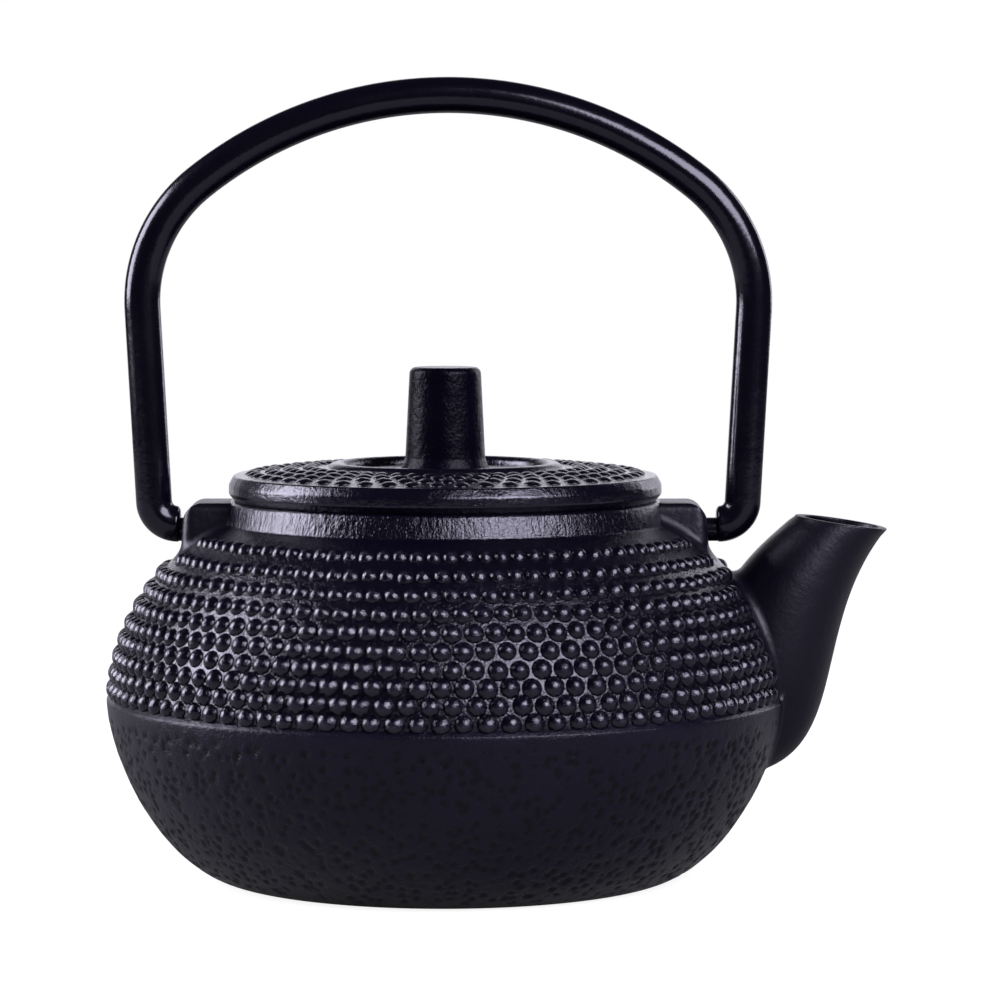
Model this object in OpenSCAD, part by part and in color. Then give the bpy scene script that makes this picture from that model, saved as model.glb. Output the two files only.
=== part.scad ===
// Small cast iron teapot with a swinging bail handle, a lift-off lid and a steel infuser basket.
// The origin is at the centre of the base. The spout points along +X, and +Z is up.

/* [Pot body] */
// Largest diameter, at the seam round the belly
body_d = 111.8; // [108:0.2:136]
// Height of the seam above the table
seam_z = 29.5; // [24:0.5:36]
// Height of the ring that the lid rests on
rim_z = 62; // [52:0.5:76]
// Diameter of the flat foot
foot_d = 73; // [60:0.5:80]
// Wall thickness of the casting
wall = 3; // [2.5:0.1:4]
// How far the lower half stands out past the upper half at the seam
seam_step = 0.9; // [0.5:0.1:1.5]
// Roundness of the upper belly curve, 2 is an ellipse
upper_power = 1.7; // [1.5:0.05:2.2]
// Roundness of the lower belly curve, 2 is an ellipse
lower_power = 1.6; // [1.5:0.05:2.2]
// Height of the neck ring above the closed crown of the shoulder
neck_h = 2.7; // [2:0.1:4]

/* [Mouth] */
// Diameter of the bore that the basket hangs in
mouth_d = 60; // [50:0.5:72]
// Width of the recessed ledge that carries the basket
ledge_w = 2.2; // [1.5:0.1:3]
// Depth of the recessed ledge
ledge_h = 1; // [0.8:0.1:2]
// Width of the seat ring outside the ledge
seat_w = 3.6; // [3:0.1:5]
// How far the shoulder's crown runs in under the neck ring
crown_in = 3.8; // [3:0.1:5]

/* [Spout] */
// Depth of the spout's root below the seam
root_drop = 10.9; // [8:0.1:14]
// Depth of the outer lip below the rim
lip_drop = 4.7; // [3:0.1:8]
// Reach of the outer lip past the belly
lip_reach = 17; // [14:0.1:24]
// Length of the pouring mouth, from inner to outer lip
lip_l = 15.3; // [12:0.1:18]
// Width of the pouring mouth
lip_w = 15.2; // [12:0.1:18]
// Slope of the pouring mouth, down towards the outer lip
lip_tilt = 8.3; // [0:0.1:15]
// Wall of the spout at its root
spout_wall = 2.4; // [2:0.1:3]
// Wall of the spout at its lip
lip_wall = 1.3; // [1:0.1:2]

/* [Lugs] */
// Length of a lug, outwards from the neck ring
lug_l = 7.4; // [6:0.1:10]
// Width of a lug
lug_w = 14; // [11:0.5:16]
// Radius of the rounded top corner
lug_corner = 3; // [1:0.1:4]
// Radius of the rounded upright edges
lug_edge = 1.8; // [1:0.1:3]
// Depth of the pin's axis below the rim
pin_drop = 4.9; // [4:0.1:6]
// Height of the lug above the pin's axis
lug_over = 4.7; // [4:0.1:6]
// Diameter of the bail's pins
pin_d = 3.9; // [3:0.1:5]
// Length of pin inside the lug
pin_l = 4.6; // [3.5:0.1:5]
// Radial play of a pin in its hole
pin_play = 0.08; // [0.02:0.01:0.1]

/* [Bail] */
// Diameter of the bail's rod
rod_d = 5.95; // [5:0.05:7.5]
// Length of pin that shows between the lug and the rod
pin_show = 1.5; // [0.8:0.1:2]
// How far the bail hangs to the spout's side, in the play that it has there
bail_shift = 0.5; // [-0.8:0.1:0.8]
// Height of the rod's end above the pin's axis
pin_offset = 0.9; // [0:0.1:1]
// Radius of the bend at the foot of each leg, on its centreline
foot_bend = 3.9; // [3.5:0.1:7]
// Outward lean of the legs
leg_lean = 3.1; // [0:0.1:4]
// Height of the arch's spring line above the pins
spring_h = 36.2; // [24:0.1:44]
// Height of the bail's top above the pins
bail_h = 74.4; // [64:0.1:90]
// Radius of the arch's two corners, on the centreline
corner_r = 25; // [20:0.5:28]

/* [Lid] */
// How far the lid's edge stands in from the neck ring
lid_inset = 0.4; // [0.2:0.1:1]
// Height of the lid's edge
lid_edge_h = 3.2; // [2.6:0.1:4]
// Rise of the lid's dome from its edge to the bead ring
dome_h = 2.1; // [1:0.1:4]
// Radius of the bead ring round the dish
bead_r = 18; // [14:0.1:20]
// Half-width of the bead
bead_w = 1.45; // [1:0.05:2]
// Depth of the dish below the top of the dome
dish_h = 0.4; // [0.2:0.1:0.8]
// Thickness of the lid under the dish
lid_t = 2.9; // [2.4:0.1:3]
// Depth of the locating skirt below the seat
skirt_h = 4; // [3:0.1:6]
// Diameter of the steam vent
vent_d = 2.5; // [2:0.1:4]
// Distance of the steam vent from the centre
vent_r = 11.5; // [11:0.1:13]

/* [Knob] */
// Height of the knob
knob_h = 17; // [12:0.1:22]
// Diameter of the knob under its top
knob_top_d = 11.8; // [10:0.1:14]
// Diameter of the knob above its flared foot
knob_low_d = 13; // [11:0.1:15]
// Diameter of the knob's flared foot
knob_foot_d = 15.6; // [14:0.1:18]
// Thread diameter of the screw that holds the knob
screw_d = 4; // [3:0.5:5]
// Length of screw inside the knob
screw_in = 8; // [5:0.5:10]

/* [Infuser] */
// Depth of the basket below its flange
basket_h = 30; // [20:0.5:36]
// Thickness of the basket's steel sheet
sheet = 0.5; // [0.4:0.05:0.8]
// Height of the basket's collar
collar_h = 6; // [4:0.5:10]
// Height of the ring round the basket's bottom
base_ring_h = 3; // [2:0.5:5]

/* [Hidden] */
$fn = 96;
fit_gap = 0.3;        // clearance between lift-out pieces
joint_gap = 0.05;     // clearance between pieces that are pressed or screwed together
CURVE_STEPS = 14;     // straight steps in each belly curve
body_r = body_d / 2;
foot_r = foot_d / 2;
mouth_r = mouth_d / 2;
ledge_r = mouth_r + ledge_w;
neck_r = ledge_r + seat_w;
ledge_z = rim_z - ledge_h;
upper_r = body_r - seam_step;
crown_r = neck_r - crown_in;
crown_z = rim_z - neck_h;
rod_r = rod_d / 2;
pin_r = pin_d / 2;
lug_x = neck_r + lug_l;
pin_hole_l = pin_l + abs(bail_shift) + fit_gap;
rod_x = lug_x + pin_show;
leg_x = rod_x + foot_bend;
pin_z = max(rim_z - pin_drop, shoulder_z(lug_x) + max(pin_r, rod_r - pin_offset) + 1,
            shoulder_z(leg_x) + rod_r + 1);
lug_top_z = pin_z + lug_over;
lid_r = neck_r - lid_inset;
lid_top_z = rim_z + lid_edge_h;
dome_z = lid_top_z + dome_h;
dish_z = dome_z - dish_h;
under_z = dish_z - lid_t;
knob_r = knob_foot_d / 2;
screw_r = screw_d / 2;
washer_h = 0.8;
basket_r = mouth_r - 2 * fit_gap;
screen_r = basket_r - sheet - joint_gap;
skirt_r = screen_r - sheet - 2 * fit_gap;
basket_z = ledge_z - basket_h;

// Height of the shoulder's surface at radius r, or of the seam beyond it.
function shoulder_z(r) =
    let (t = min(1, (r - crown_r) / (upper_r - crown_r)))
    seam_z + seam_step + (crown_z - seam_z - seam_step) * pow(1 - pow(t, upper_power), 1 / upper_power);

// Points of one belly curve, a quarter superellipse. It runs from the radius r_stop, near its
// closed end at [r_in, z_end], out to [r_out, z_wide].
function belly_curve(r_in, r_out, z_wide, z_end, power, r_stop) =
    let (a_stop = acos(pow((r_stop - r_in) / (r_out - r_in), power / 2)))
    [for (i = [0:CURVE_STEPS])
        let (a = a_stop * (1 - i / CURVE_STEPS))
        [r_in + (r_out - r_in) * pow(cos(a), 2 / power),
         z_wide + (z_end - z_wide) * pow(sin(a), 2 / power)]];

function reversed(list) = [for (i = [len(list) - 1:-1:0]) list[i]];

// Outer and inner half-sections of the pot, before the spout and lugs.
module shell_outline() {
    lower = belly_curve(foot_r, body_r, seam_z, 0, lower_power, foot_r);
    upper = belly_curve(crown_r, upper_r, seam_z + seam_step, crown_z, upper_power, neck_r);
    polygon(concat([[0, 0]], lower, reversed(upper),
                   [[neck_r, rim_z - 0.8], [neck_r - 0.6, rim_z], [0, rim_z]]));
}

module cavity_outline() {
    top_z = crown_z - wall;
    lower = belly_curve(foot_r - wall, body_r - wall, seam_z, wall, lower_power, foot_r - wall);
    upper = belly_curve(crown_r, upper_r - wall, seam_z + seam_step, top_z, upper_power, crown_r);
    polygon(concat([[0, wall]], lower, reversed(upper), [[0, top_z]]));
}

// The spout is a loft. Its outer contour is a Bezier curve in the XZ plane from the root, under
// the belly, to the lip. Each station is an ellipse that runs inwards from that contour.
LOFT_SIDES = 24;
LOFT_STEPS = 12;
root_z = seam_z - root_drop;
lip_x = max(body_r + lip_reach, leg_x + rod_r + 5.5 + lip_l);
lip_z = rim_z - lip_drop;
root_x = body_r - 1.4;
contour = [[root_x, root_z],
           [root_x + 11.5, root_z + 0.17 * (lip_z - root_z)],
           [root_x + 0.35 * (lip_x - root_x), root_z + 0.64 * (lip_z - root_z)],
           [lip_x, lip_z]];

function bezier(p, t) = pow(1 - t, 3) * p[0] + 3 * pow(1 - t, 2) * t * p[1]
                      + 3 * (1 - t) * t * t * p[2] + pow(t, 3) * p[3];
function station_tilt(t) = lip_tilt * t + 13 * sin(180 * t);
function station_l(t) = lip_l + 5 * sin(90 * min(1, 2 * (1 - t)));
function station_w(t) = lerp(lip_w - 3, lip_w, t) / 2 + 3 * sin(180 * t);
function lerp(a, b, t) = a + (b - a) * t;

function station(t, inset) =
    let (edge = bezier(contour, t), tilt = station_tilt(t), half = station_l(t) / 2,
         axis = [cos(tilt), -sin(tilt)], centre = edge - half * axis)
    [for (i = [0:LOFT_SIDES - 1])
        let (a = 360 * i / LOFT_SIDES, along = (half - inset) * cos(a))
        [centre.x + along * axis.x, (station_w(t) - inset) * sin(a), centre.y + along * axis.y]];

module loft(rings) {
    n = len(rings[0]);
    last = len(rings) - 1;
    polyhedron(
        points = [for (ring = rings) each ring],
        faces = concat(
            [[for (i = [0:n - 1]) i]],
            [for (k = [0:last - 1], i = [0:n - 1])
                let (j = (i + 1) % n)
                each [[k * n + i, (k + 1) * n + i, (k + 1) * n + j],
                      [k * n + i, (k + 1) * n + j, k * n + j]]],
            [[for (i = [n - 1:-1:0]) last * n + i]]));
}

module spout_outer() {
    loft([for (k = [0:LOFT_STEPS]) station(k / LOFT_STEPS, 0)]);
}

// The pouring channel starts just above the root, and runs out past the lip.
module spout_channel() {
    start = 0.2;
    mouth = station(1, lip_wall);
    loft(concat(
        [for (k = [0:LOFT_STEPS])
            let (t = lerp(start, 1, k / LOFT_STEPS))
            station(t, lerp(spout_wall, lip_wall, t))],
        [[for (p = mouth) p + [sin(lip_tilt), 0, cos(lip_tilt)]]]));
}

// A lug is a block on the shoulder, with a rounded top corner and rounded upright edges. Above
// the rim it stays clear of the lid.
module lug() {
    base_z = shoulder_z(lug_x) - wall;
    x_in = neck_r - 2;
    difference() {
        intersection() {
            rotate([90, 0, 0])
                linear_extrude(lug_w, center = true)
                    union() {
                        translate([x_in, base_z])
                            square([lug_x - lug_corner - x_in, lug_top_z - base_z]);
                        translate([x_in, base_z])
                            square([lug_x - x_in, lug_top_z - lug_corner - base_z]);
                        translate([lug_x - lug_corner, lug_top_z - lug_corner])
                            circle(lug_corner);
                    }
            translate([0, 0, base_z - 1])
                linear_extrude(lug_top_z - base_z + 2)
                    union() {
                        translate([x_in - 1, -lug_w / 2])
                            square([lug_x - lug_edge - x_in + 1, lug_w]);
                        translate([x_in - 1, -lug_w / 2 + lug_edge])
                            square([lug_x - x_in + 1, lug_w - 2 * lug_edge]);
                        for (side = [-1, 1])
                            translate([lug_x - lug_edge, side * (lug_w / 2 - lug_edge)])
                                circle(lug_edge);
                    }
        }
        translate([0, 0, rim_z]) cylinder(r = neck_r, h = lug_top_z);
    }
}

module both_sides() {
    children();
    mirror([1, 0, 0]) children();
}

// Shell, spout and lugs are one casting, open at the mouth and along the spout.
module pot_body() color([0.10, 0.09, 0.13]) difference() {
    union() {
        rotate_extrude() shell_outline();
        spout_outer();
        both_sides() lug();
    }
    rotate_extrude() cavity_outline();
    spout_channel();
    translate([0, 0, crown_z - wall - 1]) cylinder(r = mouth_r, h = rim_z);
    translate([0, 0, ledge_z]) cylinder(r = ledge_r, h = rim_z);
    both_sides()
        translate([lug_x - pin_hole_l, 0, pin_z])
            rotate([0, 90, 0]) cylinder(r = pin_r + pin_play, h = pin_hole_l + 10);
}

// The bail's centreline, from the +X pin: foot bend, leaning leg, corner arc, top arc.
foot_c = [rod_x, pin_z + pin_offset + foot_bend];
leg_foot = foot_c + foot_bend * [cos(leg_lean), -sin(leg_lean)];
leg_top = [leg_foot.x + (pin_z + spring_h - leg_foot.y) * tan(leg_lean), pin_z + spring_h];
corner_c = leg_top - corner_r * [cos(leg_lean), -sin(leg_lean)];
apex_z = pin_z + bail_h - rod_r;
// The top arc passes through the apex and is tangent to both corner arcs.
rise = apex_z - corner_c.y;
top_r = (pow(corner_c.x, 2) + pow(rise, 2) - pow(corner_r, 2)) / (2 * (rise - corner_r));
top_c = [0, apex_z - top_r];
top_half = atan2(corner_c.x, corner_c.y - top_c.y);

// Rings of the rod along one arc in the XZ plane, with angles anticlockwise from +X.
ROD_SIDES = 20;
function rod_rings(centre, r, a0, a1, steps, first = 0) =
    [for (k = [first:steps])
        let (a = lerp(a0, a1, k / steps))
        [for (i = [0:ROD_SIDES - 1])
            let (b = 360 * i / ROD_SIDES, reach = r + rod_r * cos(b))
            [centre.x + reach * cos(a), rod_r * sin(b), centre.y + reach * sin(a)]]];

function mirrored(p) = [-p.x, p.y];

module bail_rod() {
    a_leg = -leg_lean;
    a_top = 90 - top_half;
    loft(concat(
        rod_rings(foot_c, foot_bend, -90, a_leg, 6),
        rod_rings(corner_c, corner_r, a_leg, a_top, 7),
        rod_rings(top_c, top_r, a_top, 180 - a_top, 12, first = 1),
        rod_rings(mirrored(corner_c), corner_r, 180 - a_top, 180 - a_leg, 7, first = 1),
        rod_rings(mirrored(foot_c), foot_bend, 180 - a_leg, 270, 6)));
}

// Pin, with the shoulder where the rod necks down to it.
module bail_pin() {
    shoulder_l = 0.8;
    reach = pin_l + pin_show;
    translate([lug_x - pin_l, 0, pin_z]) rotate([0, 90, 0]) rotate_extrude() polygon([
        [0, 0], [pin_r - 0.3, 0], [pin_r, 0.3], [pin_r, reach - shoulder_l],
        [pin_r + 0.2, reach], [pin_r + 0.2, reach + 0.3], [0, reach + 0.3]]);
}

module bail_handle() color([0.07, 0.065, 0.09]) translate([bail_shift, 0, 0]) {
    bail_rod();
    both_sides() bail_pin();
}

// Height of the lid's dome at radius r, level where it meets the bead ring.
flat_rim_w = 2;
dome_out_r = lid_r - flat_rim_w;
function dome_at(r) = dome_z - dome_h * pow((r - bead_r) / (dome_out_r - bead_r), 2);

module lid_outline() {
    bead_out = bead_r + bead_w;
    polygon(concat(
        [[0, under_z], [skirt_r - 2, under_z], [skirt_r - 2, rim_z - skirt_h],
         [skirt_r - 0.5, rim_z - skirt_h], [skirt_r, rim_z - skirt_h + 0.5], [skirt_r, rim_z],
         [lid_r - 1.5, rim_z], [lid_r, rim_z + 1.5], [lid_r, lid_top_z - 0.6],
         [lid_r - 0.6, lid_top_z]],
        [for (k = [0:8]) let (r = lerp(dome_out_r, bead_out, k / 8)) [r, dome_at(r)]],
        [for (a = [15:15:165]) [bead_r + bead_w * cos(a), dome_z - 0.35 + bead_w * sin(a)]],
        [[bead_r - bead_w, dish_z], [0, dish_z]]));
}

module lid() color([0.12, 0.11, 0.15]) difference() {
    rotate_extrude() lid_outline();
    translate([0, 0, under_z - 1]) cylinder(r = screw_r + fit_gap, h = lid_t + 2);
    translate([0, vent_r, under_z - 1]) cylinder(d = vent_d, h = lid_t + 2);
}

module lid_knob() color([0.09, 0.08, 0.11]) translate([0, 0, dish_z]) difference() {
    flare = (knob_foot_d - knob_low_d) / 2;
    top_r = knob_top_d / 2;
    rotate_extrude() polygon(concat(
        [[0, 0], [knob_r, 0]],
        [for (a = [0:15:90]) [knob_r - flare * sin(a), 0.6 + 2 * (1 - cos(a))]],
        [for (a = [0:15:90]) [top_r - 1 + cos(a), knob_h - 1 + sin(a)]],
        [[0, knob_h]]));
    translate([0, 0, -1]) cylinder(r = screw_r + joint_gap, h = screw_in + joint_gap + 1);
}

// Domed head under the lid, shank up into the knob.
module knob_screw() color([0.70, 0.70, 0.72]) {
    head_r = 1.9 * screw_r;
    translate([0, 0, under_z - washer_h]) {
        rotate_extrude() polygon([[0, -2.2], [head_r - 1.2, -2.2], [head_r - 0.4, -1.8],
                                  [head_r, -1], [head_r, 0], [0, 0]]);
        translate([0, 0, -1]) cylinder(r = screw_r, h = 1 + washer_h + lid_t + screw_in);
    }
}

module knob_washer() color([0.74, 0.74, 0.76]) translate([0, 0, under_z - washer_h])
    difference() {
        cylinder(r = 2.3 * screw_r, h = washer_h);
        translate([0, 0, -1]) cylinder(r = screw_r + 0.15, h = washer_h + 2);
    }

module tube(outer_r, inner_r, z0, z1) {
    difference() {
        translate([0, 0, z0]) cylinder(r = outer_r, h = z1 - z0);
        translate([0, 0, z0 - 1]) cylinder(r = inner_r, h = z1 - z0 + 2);
    }
}

// Flange that hangs on the ledge, and the band that grips the screen.
module infuser_collar() color([0.76, 0.76, 0.78]) {
    tube(ledge_r - fit_gap, basket_r - sheet, ledge_z, ledge_z + sheet);
    tube(basket_r, basket_r - sheet, ledge_z - collar_h, ledge_z + sheet / 2);
}

module infuser_screen() color([0.66, 0.66, 0.69])
    tube(screen_r, screen_r - sheet, basket_z + 2 * sheet, ledge_z - 0.5);

module infuser_base_screen() color([0.66, 0.66, 0.69])
    translate([0, 0, basket_z + sheet]) cylinder(r = screen_r, h = sheet);

module infuser_base_ring() color([0.76, 0.76, 0.78]) {
    tube(basket_r, basket_r - sheet, basket_z, basket_z + base_ring_h);
    tube(basket_r - sheet / 2, basket_r - 4, basket_z, basket_z + sheet);
}

pot_body();
bail_handle();
lid();
lid_knob();
knob_screw();
knob_washer();
infuser_collar();
infuser_screen();
infuser_base_screen();
infuser_base_ring();
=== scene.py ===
"""Looks of a small cast iron teapot: hobnailed pot and lid, swinging bail, steel infuser basket.

Sizes in the code are in millimetres, and become metres where a mesh is made.
"""
import math

import bmesh
import bpy
import numpy as np
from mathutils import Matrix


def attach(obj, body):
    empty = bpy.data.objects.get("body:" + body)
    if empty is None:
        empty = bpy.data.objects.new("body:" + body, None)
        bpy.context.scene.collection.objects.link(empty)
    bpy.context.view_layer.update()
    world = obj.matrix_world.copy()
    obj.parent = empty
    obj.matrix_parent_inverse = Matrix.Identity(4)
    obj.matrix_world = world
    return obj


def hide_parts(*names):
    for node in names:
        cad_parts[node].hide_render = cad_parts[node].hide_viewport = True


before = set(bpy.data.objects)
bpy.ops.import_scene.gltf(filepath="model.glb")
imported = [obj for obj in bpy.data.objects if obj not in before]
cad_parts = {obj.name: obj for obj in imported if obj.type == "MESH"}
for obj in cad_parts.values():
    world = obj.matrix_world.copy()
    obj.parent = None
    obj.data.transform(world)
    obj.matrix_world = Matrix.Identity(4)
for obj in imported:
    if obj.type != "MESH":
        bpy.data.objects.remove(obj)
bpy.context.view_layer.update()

# --- Pot casting: belly, shoulder and neck ---
# One sand casting in iron under a thin near-black enamel. The mould parts at the belly, where the
# lower half keeps a pitted skin and stands out past the shoulder that carries the studs. The
# inside is enamelled too, and a recessed ledge in the mouth carries the infuser basket.

MM = 0.001
BELLY_R, FOOT_R, SHOULDER_R = 55.9, 36.5, 55.0
SEAM_Z, SHOULDER_Z, RIM_Z = 29.5, 30.4, 62.0
CROWN_R, CROWN_Z, WALL = 32.0, 59.3, 3.0
NECK_R, LEDGE_R, LEDGE_Z, MOUTH_R = 35.8, 32.2, 61.0, 30.0
LOWER_POWER, UPPER_POWER = 1.6, 1.7
NECK_START_R, NECK_FOOT_R, NECK_FOOT_Z = 37.4, 36.45, CROWN_Z - 1.05
NECK_FILLET, NECK_TAPER = 1.1, 0.3
PIT_PITCH, PIT_SIZE, PIT_DEPTH, SMOOTH_BAND = 1.7, 0.36, 0.28, 2.6
PIT_CORE, PIT_RIM, UNEVEN_WIDTH = 0.45, 1.35, 7.0
BELLY_SIDES, SHOULDER_SIDES, CAVITY_SIDES = 760, 480, 240
BELLY_PITCH, SHOULDER_PITCH, LAP = 0.46, 0.8, 0.5


def belly_curve(r_in, r_out, z_wide, z_end, power, r_stop, steps):
    """A quarter superellipse from r_out at z_wide towards r_in at z_end, as far as r_stop."""
    stop = math.acos(((r_stop - r_in) / (r_out - r_in)) ** (power / 2))
    return [
        (
            r_in + (r_out - r_in) * max(0.0, math.cos(stop * k / steps)) ** (2 / power),
            z_wide + (z_end - z_wide) * math.sin(stop * k / steps) ** (2 / power),
        )
        for k in range(steps + 1)
    ]


def skin_r(z):
    """Radius of the casting's outer surface at height z."""
    if z < SEAM_Z:
        s = (SEAM_Z - z) / SEAM_Z
        return FOOT_R + (BELLY_R - FOOT_R) * (1 - s**LOWER_POWER) ** (1 / LOWER_POWER)
    s = min(1.0, max(0.0, (z - SHOULDER_Z) / (CROWN_Z - SHOULDER_Z)))
    return CROWN_R + (SHOULDER_R - CROWN_R) * (1 - s**UPPER_POWER) ** (1 / UPPER_POWER)


def unit(vector):
    """The vector at a length of 1."""
    return vector / np.linalg.norm(vector)


def rounded(*corners, steps=4):
    """Outline points from (r, z, radius) corners, each inner one rounded to its radius."""
    points = []
    for k, (x, z, radius) in enumerate(corners):
        here = np.array([x, z])
        if radius == 0 or k in (0, len(corners) - 1):
            points.append((x, z))
            continue
        back = unit(np.array(corners[k - 1][:2]) - here)
        on = unit(np.array(corners[k + 1][:2]) - here)
        half = math.acos(np.clip(back @ on, -1, 1)) / 2
        centre = here + unit(back + on) * radius / math.sin(half)
        first = here + back * radius / math.tan(half) - centre
        last = here + on * radius / math.tan(half) - centre
        for step in range(steps + 1):
            mid = first + (last - first) * step / steps
            points.append(tuple(centre + unit(mid) * radius))
    return points


def new_piece(name, points, faces, closed=True):
    """A mesh object from points in millimetres. A closed one is turned the right way out."""
    mesh = bpy.data.meshes.new(name)
    co = np.array(points, float).reshape(-1, 3) * MM
    mesh.from_pydata(co.tolist(), [], faces)
    if faces and closed:
        mesh.calc_loop_triangles()
        tris = np.array([t.vertices for t in mesh.loop_triangles])
        a, b, c = co[tris].transpose(1, 0, 2)
        if np.einsum("ij,ij->i", a, np.cross(b, c)).sum() < 0:
            mesh.flip_normals()
    piece = bpy.data.objects.new(name, mesh)
    bpy.context.scene.collection.objects.link(piece)
    return piece


def turns(n):
    """n angles, evenly spaced round a full turn."""
    return [math.tau * k / n for k in range(n)]


def circle(r, z, angles, y=0):
    """A level ring of points round the Z axis, or round a line beside it at y."""
    return [(r * math.cos(a), y + r * math.sin(a), z) for a in angles]


def quads(n, first, second):
    """The quads between two rings of n points, given by the numbers of their first points."""
    return [(first + i, first + (i + 1) % n, second + (i + 1) % n, second + i) for i in range(n)]


def lofted(name, rings, ends="cap"):
    """A skin over rings of points. ends is "cap", or "loop" where the last meets the first."""
    n, last = len(rings[0]), len(rings) - 1
    faces = []
    for k in range(last + (ends == "loop")):
        faces += quads(n, k * n, (k + 1) % len(rings) * n)
    if ends == "cap":
        faces += [tuple(range(n))[::-1], tuple(last * n + i for i in range(n))]
    return new_piece(name, [p for ring in rings for p in ring], faces)


def turned(name, outline, sides):
    """Turns an outline of (r, z) round the Z axis. It runs from the axis to the axis, or loops."""
    from_axis = outline[0][0] == 0
    body = outline[1:-1] if from_axis else outline
    rings = [circle(r, z, turns(sides)) for r, z in body]
    if not from_axis:
        return lofted(name, rings, "loop")
    n, last = sides, len(rings) - 1
    points = [p for ring in rings for p in ring] + [(0, 0, outline[0][1]), (0, 0, outline[-1][1])]
    faces = []
    for k in range(last):
        faces += quads(n, k * n, (k + 1) * n)
    faces += [(len(points) - 2, (i + 1) % n, i) for i in range(n)]
    faces += [(len(points) - 1, last * n + i, last * n + (i + 1) % n) for i in range(n)]
    return new_piece(name, points, faces)


def smooth(piece, angle=35):
    """Shades a piece smooth, except over edges sharper than an angle."""
    piece.data.shade_smooth()
    piece.data.set_sharp_from_angle(angle=math.radians(angle))
    return piece


def applied(piece):
    """Puts a piece's modifiers into its mesh."""
    seen = piece.evaluated_get(bpy.context.evaluated_depsgraph_get())
    mesh = bpy.data.meshes.new_from_object(seen)
    piece.modifiers.clear()
    piece.data = mesh
    return piece


def drop(*pieces):
    """Removes pieces that only helped to make others."""
    for piece in pieces:
        bpy.data.objects.remove(piece)


def without(piece, *cutters):
    """Cuts the cutters out of a piece."""
    for cutter in cutters:
        cut = piece.modifiers.new("cut", "BOOLEAN")
        cut.operation, cut.object, cut.solver = "DIFFERENCE", cutter, "MANIFOLD"
    return applied(piece)


class Wire:
    """A value in a node tree. Arithmetic adds Math nodes to it, and node() adds any other."""

    def __init__(self, tree, socket=None):
        self.tree, self.socket = tree, socket

    def node(self, kind, values=None, out=0, **settings):
        """Adds a node and gives its output out. values holds its inputs' values or links, by name
        or by place."""
        made = self.tree.nodes.new(kind)
        for key, value in settings.items():
            setattr(made, key, value)
        for key, value in (values or {}).items():
            if isinstance(value, Wire):
                self.tree.links.new(value.socket, made.inputs[key])
            else:
                made.inputs[key].default_value = value
        return Wire(self.tree, made.outputs[out])

    def also(self, out):
        """Another output of the same node."""
        return Wire(self.tree, self.socket.node.outputs[out])

    def math(self, operation, *others, swap=False):
        """A Math node on this value and others. swap puts this value last."""
        values = (*others, self) if swap else (self, *others)
        return self.node("ShaderNodeMath", dict(enumerate(values)), operation=operation)

    def __add__(self, other):
        return self.math("ADD", other)

    def __sub__(self, other):
        return self.math("SUBTRACT", other)

    def __rsub__(self, other):
        return self.math("SUBTRACT", other, swap=True)

    def __mul__(self, other):
        return self.math("MULTIPLY", other)

    def __truediv__(self, other):
        return self.math("DIVIDE", other)

    def __rtruediv__(self, other):
        return self.math("DIVIDE", other, swap=True)

    __radd__, __rmul__ = __add__, __mul__

    def ease(self, low, high):
        """0 below low and 1 above high, with a smooth step between."""
        ends = {0: self, 1: low, 2: high}
        return self.node("ShaderNodeMapRange", ends, interpolation_type="SMOOTHSTEP")

    def colours(self, low, high):
        """The colour low where the value is 0, high where it is 1."""
        ends = {0: self, 6: (*low, 1), 7: (*high, 1)}
        return self.node("ShaderNodeMix", ends, out=2, data_type="RGBA")

    def apart(self):
        """The X, Y and Z of a vector."""
        split = self.node("ShaderNodeSeparateXYZ", {0: self})
        return split, split.also(1), split.also(2)

    def vector(self, x, y, z):
        """A vector from three values."""
        return self.node("ShaderNodeCombineXYZ", {0: x, 1: y, 2: z})


def shape_of(flow, thing):
    """The geometry of an object that a tree is given."""
    return flow.node("GeometryNodeObjectInfo", {0: thing}, out=4)


def stored(flow, shape, name, kind, value):
    """The shape with a value kept on its points under a name."""
    values = {0: shape, 2: name, 3: value}
    return flow.node("GeometryNodeStoreNamedAttribute", values, data_type=kind)


def grown(name, tree_name, inputs, build):
    """Runs a Geometry Nodes tree and keeps its result as a plain mesh. inputs gives each named
    input its value, whose type is its socket's too, and build makes the geometry from their
    wires."""
    tree = bpy.data.node_groups.get(tree_name)
    if tree is None:
        tree = bpy.data.node_groups.new(tree_name, "GeometryNodeTree")
        tree.interface.new_socket("Geometry", in_out="OUTPUT", socket_type="NodeSocketGeometry")
        for key, value in inputs.items():
            kind = "NodeSocket" + type(value).__name__.capitalize()
            tree.interface.new_socket(key, in_out="INPUT", socket_type=kind)
        given = tree.nodes.new("NodeGroupInput")
        shape = build(Wire(tree), {key: Wire(tree, given.outputs[key]) for key in inputs})
        real = shape.node("GeometryNodeRealizeInstances", {0: shape})
        finish = Wire(tree, given.outputs["Finish"])
        done = real.node("GeometryNodeSetMaterial", {0: real, 2: finish})
        tree.links.new(done.socket, tree.nodes.new("NodeGroupOutput").inputs[0])
    piece = new_piece(name, [], [])
    modifier = piece.modifiers.new(tree_name, "NODES")
    modifier.node_group = tree
    for item in tree.interface.items_tree:
        if item.in_out == "INPUT":
            modifier[item.identifier] = inputs[item.name]
    return applied(piece)


CLOUD_WIDTH, SPECK_WIDTH, LUMP_WIDTH = 11, 0.8, 2.8
MARK_WIDTH, MARK_SQUEEZE, MARK_FADE = 0.7, 0.12, 0.6
ENAMEL_TINT = (0.87, 0.85, 1, 1)


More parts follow.
